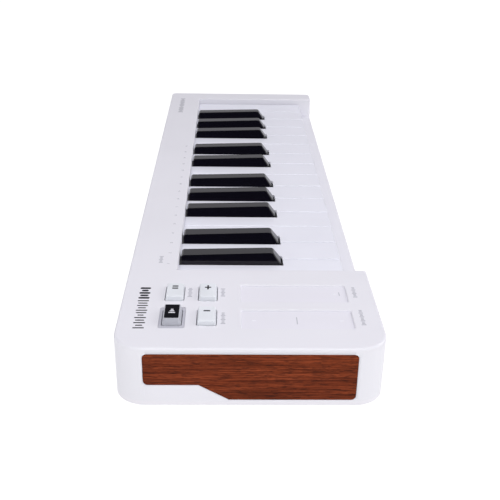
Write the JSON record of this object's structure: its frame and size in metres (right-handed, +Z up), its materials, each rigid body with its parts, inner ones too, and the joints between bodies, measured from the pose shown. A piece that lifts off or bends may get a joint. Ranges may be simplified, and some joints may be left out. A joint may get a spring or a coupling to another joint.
{
  "type": "keyboard controller",
  "caption": "Compact slim-key keyboard controller with sprung hinged keys, soft push buttons, two touch strips and wood inlaid ends.",
  "frame": {"origin": "middle of the case's footprint, on the surface the rubber feet stand on", "axes": "+X to the player's right along the keys, +Y to the rear, +Z up"},
  "size_m": [0.355, 0.103, 0.0299],
  "materials": {
    "case_plastic": "fine satin texture",
    "base_plastic": "fine satin texture",
    "wood": "oiled, fine straight grain",
    "foot_rubber": "matt",
    "frame_plastic": "moulded",
    "steel": "drawn",
    "dark_steel": "blackened",
    "felt": "pressed felt",
    "circuit_board": "solder mask",
    "silicone": "matt",
    "strip_plastic": "smooth satin",
    "bezel_plastic": "satin",
    "lamp_plastic": "clear",
    "chip_plastic": "moulded",
    "connector_plastic": "moulded",
    "jack_plastic": "moulded",
    "ribbon_plastic": "smooth",
    "white_key_plastic": "semi-gloss",
    "black_key_plastic": "gloss",
    "button_plastic": "soft satin",
    "shift_plastic": "soft satin"
  },
  "bodies": {
    "case": {"top_case": "case_plastic", "bottom_case": "base_plastic", "left_wood_panel": "wood", "right_wood_panel": "wood", "rubber_feet": "foot_rubber", "keybed_frame": "frame_plastic", "pivot_rod": "steel", "upper_felt": "felt", "lower_felt": "felt", "key_springs": "steel", "contact_board": "circuit_board", "contact_domes": "silicone", "left_touch_strip": "strip_plastic", "right_touch_strip": "strip_plastic", "touch_sensor_board": "circuit_board", "shift_bezel": "bezel_plastic", "button_board": "circuit_board", "button_domes": "silicone", "button_lights": "lamp_plastic", "main_board": "circuit_board", "controller_chip": "chip_plastic", "board_connectors": "connector_plastic", "usb_socket": "steel", "pedal_jack": "jack_plastic", "key_ribbon": "ribbon_plastic", "panel_ribbon": "ribbon_plastic", "touch_ribbon": "ribbon_plastic", "case_screws": "dark_steel", "keybed_screws": "dark_steel", "board_screws": "steel"},
    "key_c1": {"white_key_c1": "white_key_plastic"},
    "key_d1": {"white_key_d1": "white_key_plastic"},
    "key_e1": {"white_key_e1": "white_key_plastic"},
    "key_f1": {"white_key_f1": "white_key_plastic"},
    "key_g1": {"white_key_g1": "white_key_plastic"},
    "key_a1": {"white_key_a1": "white_key_plastic"},
    "key_b1": {"white_key_b1": "white_key_plastic"},
    "key_c2": {"white_key_c2": "white_key_plastic"},
    "key_d2": {"white_key_d2": "white_key_plastic"},
    "key_e2": {"white_key_e2": "white_key_plastic"},
    "key_f2": {"white_key_f2": "white_key_plastic"},
    "key_g2": {"white_key_g2": "white_key_plastic"},
    "key_a2": {"white_key_a2": "white_key_plastic"},
    "key_b2": {"white_key_b2": "white_key_plastic"},
    "key_c3": {"white_key_c3": "white_key_plastic"},
    "key_cs1": {"black_key_cs1": "black_key_plastic"},
    "key_ds1": {"black_key_ds1": "black_key_plastic"},
    "key_fs1": {"black_key_fs1": "black_key_plastic"},
    "key_gs1": {"black_key_gs1": "black_key_plastic"},
    "key_as1": {"black_key_as1": "black_key_plastic"},
    "key_cs2": {"black_key_cs2": "black_key_plastic"},
    "key_ds2": {"black_key_ds2": "black_key_plastic"},
    "key_fs2": {"black_key_fs2": "black_key_plastic"},
    "key_gs2": {"black_key_gs2": "black_key_plastic"},
    "key_as2": {"black_key_as2": "black_key_plastic"},
    "shift_cap": {"shift_button": "shift_plastic"},
    "hold_cap": {"hold_button": "button_plastic"},
    "octave_down_cap": {"octave_down_button": "button_plastic"},
    "octave_up_cap": {"octave_up_button": "button_plastic"}
  },
  "joints": [
    {"name": "press_c1", "type": "hinge", "parent": "case", "child": "key_c1", "pos_m": [0, 0.04, 0.017], "axis": [1, 0, 0], "range_deg": [0, 4.8], "stiffness_Nm_per_rad": 0.3, "springref_deg": -4.01, "deforming": ["key_springs", "contact_domes"]},
    {"name": "press_d1", "type": "hinge", "parent": "case", "child": "key_d1", "pos_m": [0, 0.04, 0.017], "axis": [1, 0, 0], "range_deg": [0, 4.8], "stiffness_Nm_per_rad": 0.3, "springref_deg": -4.01, "deforming": ["key_springs", "contact_domes"]},
    {"name": "press_e1", "type": "hinge", "parent": "case", "child": "key_e1", "pos_m": [0, 0.04, 0.017], "axis": [1, 0, 0], "range_deg": [0, 4.8], "stiffness_Nm_per_rad": 0.3, "springref_deg": -4.01, "deforming": ["key_springs", "contact_domes"]},
    {"name": "press_f1", "type": "hinge", "parent": "case", "child": "key_f1", "pos_m": [0, 0.04, 0.017], "axis": [1, 0, 0], "range_deg": [0, 4.8], "stiffness_Nm_per_rad": 0.3, "springref_deg": -4.01, "deforming": ["key_springs", "contact_domes"]},
    {"name": "press_g1", "type": "hinge", "parent": "case", "child": "key_g1", "pos_m": [0, 0.04, 0.017], "axis": [1, 0, 0], "range_deg": [0, 4.8], "stiffness_Nm_per_rad": 0.3, "springref_deg": -4.01, "deforming": ["key_springs", "contact_domes"]},
    {"name": "press_a1", "type": "hinge", "parent": "case", "child": "key_a1", "pos_m": [0, 0.04, 0.017], "axis": [1, 0, 0], "range_deg": [0, 4.8], "stiffness_Nm_per_rad": 0.3, "springref_deg": -4.01, "deforming": ["key_springs", "contact_domes"]},
    {"name": "press_b1", "type": "hinge", "parent": "case", "child": "key_b1", "pos_m": [0, 0.04, 0.017], "axis": [1, 0, 0], "range_deg": [0, 4.8], "stiffness_Nm_per_rad": 0.3, "springref_deg": -4.01, "deforming": ["key_springs", "contact_domes"]},
    {"name": "press_c2", "type": "hinge", "parent": "case", "child": "key_c2", "pos_m": [0, 0.04, 0.017], "axis": [1, 0, 0], "range_deg": [0, 4.8], "stiffness_Nm_per_rad": 0.3, "springref_deg": -4.01, "deforming": ["key_springs", "contact_domes"]},
    {"name": "press_d2", "type": "hinge", "parent": "case", "child": "key_d2", "pos_m": [0, 0.04, 0.017], "axis": [1, 0, 0], "range_deg": [0, 4.8], "stiffness_Nm_per_rad": 0.3, "springref_deg": -4.01, "deforming": ["key_springs", "contact_domes"]},
    {"name": "press_e2", "type": "hinge", "parent": "case", "child": "key_e2", "pos_m": [0, 0.04, 0.017], "axis": [1, 0, 0], "range_deg": [0, 4.8], "stiffness_Nm_per_rad": 0.3, "springref_deg": -4.01, "deforming": ["key_springs", "contact_domes"]},
    {"name": "press_f2", "type": "hinge", "parent": "case", "child": "key_f2", "pos_m": [0, 0.04, 0.017], "axis": [1, 0, 0], "range_deg": [0, 4.8], "stiffness_Nm_per_rad": 0.3, "springref_deg": -4.01, "deforming": ["key_springs", "contact_domes"]},
    {"name": "press_g2", "type": "hinge", "parent": "case", "child": "key_g2", "pos_m": [0, 0.04, 0.017], "axis": [1, 0, 0], "range_deg": [0, 4.8], "stiffness_Nm_per_rad": 0.3, "springref_deg": -4.01, "deforming": ["key_springs", "contact_domes"]},
    {"name": "press_a2", "type": "hinge", "parent": "case", "child": "key_a2", "pos_m": [0, 0.04, 0.017], "axis": [1, 0, 0], "range_deg": [0, 4.8], "stiffness_Nm_per_rad": 0.3, "springref_deg": -4.01, "deforming": ["key_springs", "contact_domes"]},
    {"name": "press_b2", "type": "hinge", "parent": "case", "child": "key_b2", "pos_m": [0, 0.04, 0.017], "axis": [1, 0, 0], "range_deg": [0, 4.8], "stiffness_Nm_per_rad": 0.3, "springref_deg": -4.01, "deforming": ["key_springs", "contact_domes"]},
    {"name": "press_c3", "type": "hinge", "parent": "case", "child": "key_c3", "pos_m": [0, 0.04, 0.017], "axis": [1, 0, 0], "range_deg": [0, 4.8], "stiffness_Nm_per_rad": 0.3, "springref_deg": -4.01, "deforming": ["key_springs", "contact_domes"]},
    {"name": "press_cs1", "type": "hinge", "parent": "case", "child": "key_cs1", "pos_m": [0, 0.04, 0.017], "axis": [1, 0, 0], "range_deg": [0, 4.8], "stiffness_Nm_per_rad": 0.3, "springref_deg": -4.01, "deforming": ["key_springs", "contact_domes"]},
    {"name": "press_ds1", "type": "hinge", "parent": "case", "child": "key_ds1", "pos_m": [0, 0.04, 0.017], "axis": [1, 0, 0], "range_deg": [0, 4.8], "stiffness_Nm_per_rad": 0.3, "springref_deg": -4.01, "deforming": ["key_springs", "contact_domes"]},
    {"name": "press_fs1", "type": "hinge", "parent": "case", "child": "key_fs1", "pos_m": [0, 0.04, 0.017], "axis": [1, 0, 0], "range_deg": [0, 4.8], "stiffness_Nm_per_rad": 0.3, "springref_deg": -4.01, "deforming": ["key_springs", "contact_domes"]},
    {"name": "press_gs1", "type": "hinge", "parent": "case", "child": "key_gs1", "pos_m": [0, 0.04, 0.017], "axis": [1, 0, 0], "range_deg": [0, 4.8], "stiffness_Nm_per_rad": 0.3, "springref_deg": -4.01, "deforming": ["key_springs", "contact_domes"]},
    {"name": "press_as1", "type": "hinge", "parent": "case", "child": "key_as1", "pos_m": [0, 0.04, 0.017], "axis": [1, 0, 0], "range_deg": [0, 4.8], "stiffness_Nm_per_rad": 0.3, "springref_deg": -4.01, "deforming": ["key_springs", "contact_domes"]},
    {"name": "press_cs2", "type": "hinge", "parent": "case", "child": "key_cs2", "pos_m": [0, 0.04, 0.017], "axis": [1, 0, 0], "range_deg": [0, 4.8], "stiffness_Nm_per_rad": 0.3, "springref_deg": -4.01, "deforming": ["key_springs", "contact_domes"]},
    {"name": "press_ds2", "type": "hinge", "parent": "case", "child": "key_ds2", "pos_m": [0, 0.04, 0.017], "axis": [1, 0, 0], "range_deg": [0, 4.8], "stiffness_Nm_per_rad": 0.3, "springref_deg": -4.01, "deforming": ["key_springs", "contact_domes"]},
    {"name": "press_fs2", "type": "hinge", "parent": "case", "child": "key_fs2", "pos_m": [0, 0.04, 0.017], "axis": [1, 0, 0], "range_deg": [0, 4.8], "stiffness_Nm_per_rad": 0.3, "springref_deg": -4.01, "deforming": ["key_springs", "contact_domes"]},
    {"name": "press_gs2", "type": "hinge", "parent": "case", "child": "key_gs2", "pos_m": [0, 0.04, 0.017], "axis": [1, 0, 0], "range_deg": [0, 4.8], "stiffness_Nm_per_rad": 0.3, "springref_deg": -4.01, "deforming": ["key_springs", "contact_domes"]},
    {"name": "press_as2", "type": "hinge", "parent": "case", "child": "key_as2", "pos_m": [0, 0.04, 0.017], "axis": [1, 0, 0], "range_deg": [0, 4.8], "stiffness_Nm_per_rad": 0.3, "springref_deg": -4.01, "deforming": ["key_springs", "contact_domes"]},
    {"name": "press_shift", "type": "slide", "parent": "case", "child": "shift_cap", "axis": [0, 0, -1], "range_m": [0, 0.0008], "stiffness_N_per_m": 1500, "springref_m": -0.0002, "deforming": ["button_domes"]},
    {"name": "press_hold", "type": "slide", "parent": "case", "child": "hold_cap", "axis": [0, 0, -1], "range_m": [0, 0.0008], "stiffness_N_per_m": 1500, "springref_m": -0.0002, "deforming": ["button_domes"]},
    {"name": "press_octave_down", "type": "slide", "parent": "case", "child": "octave_down_cap", "axis": [0, 0, -1], "range_m": [0, 0.0008], "stiffness_N_per_m": 1500, "springref_m": -0.0002, "deforming": ["button_domes"]},
    {"name": "press_octave_up", "type": "slide", "parent": "case", "child": "octave_up_cap", "axis": [0, 0, -1], "range_m": [0, 0.0008], "stiffness_N_per_m": 1500, "springref_m": -0.0002, "deforming": ["button_domes"]}
  ]
}
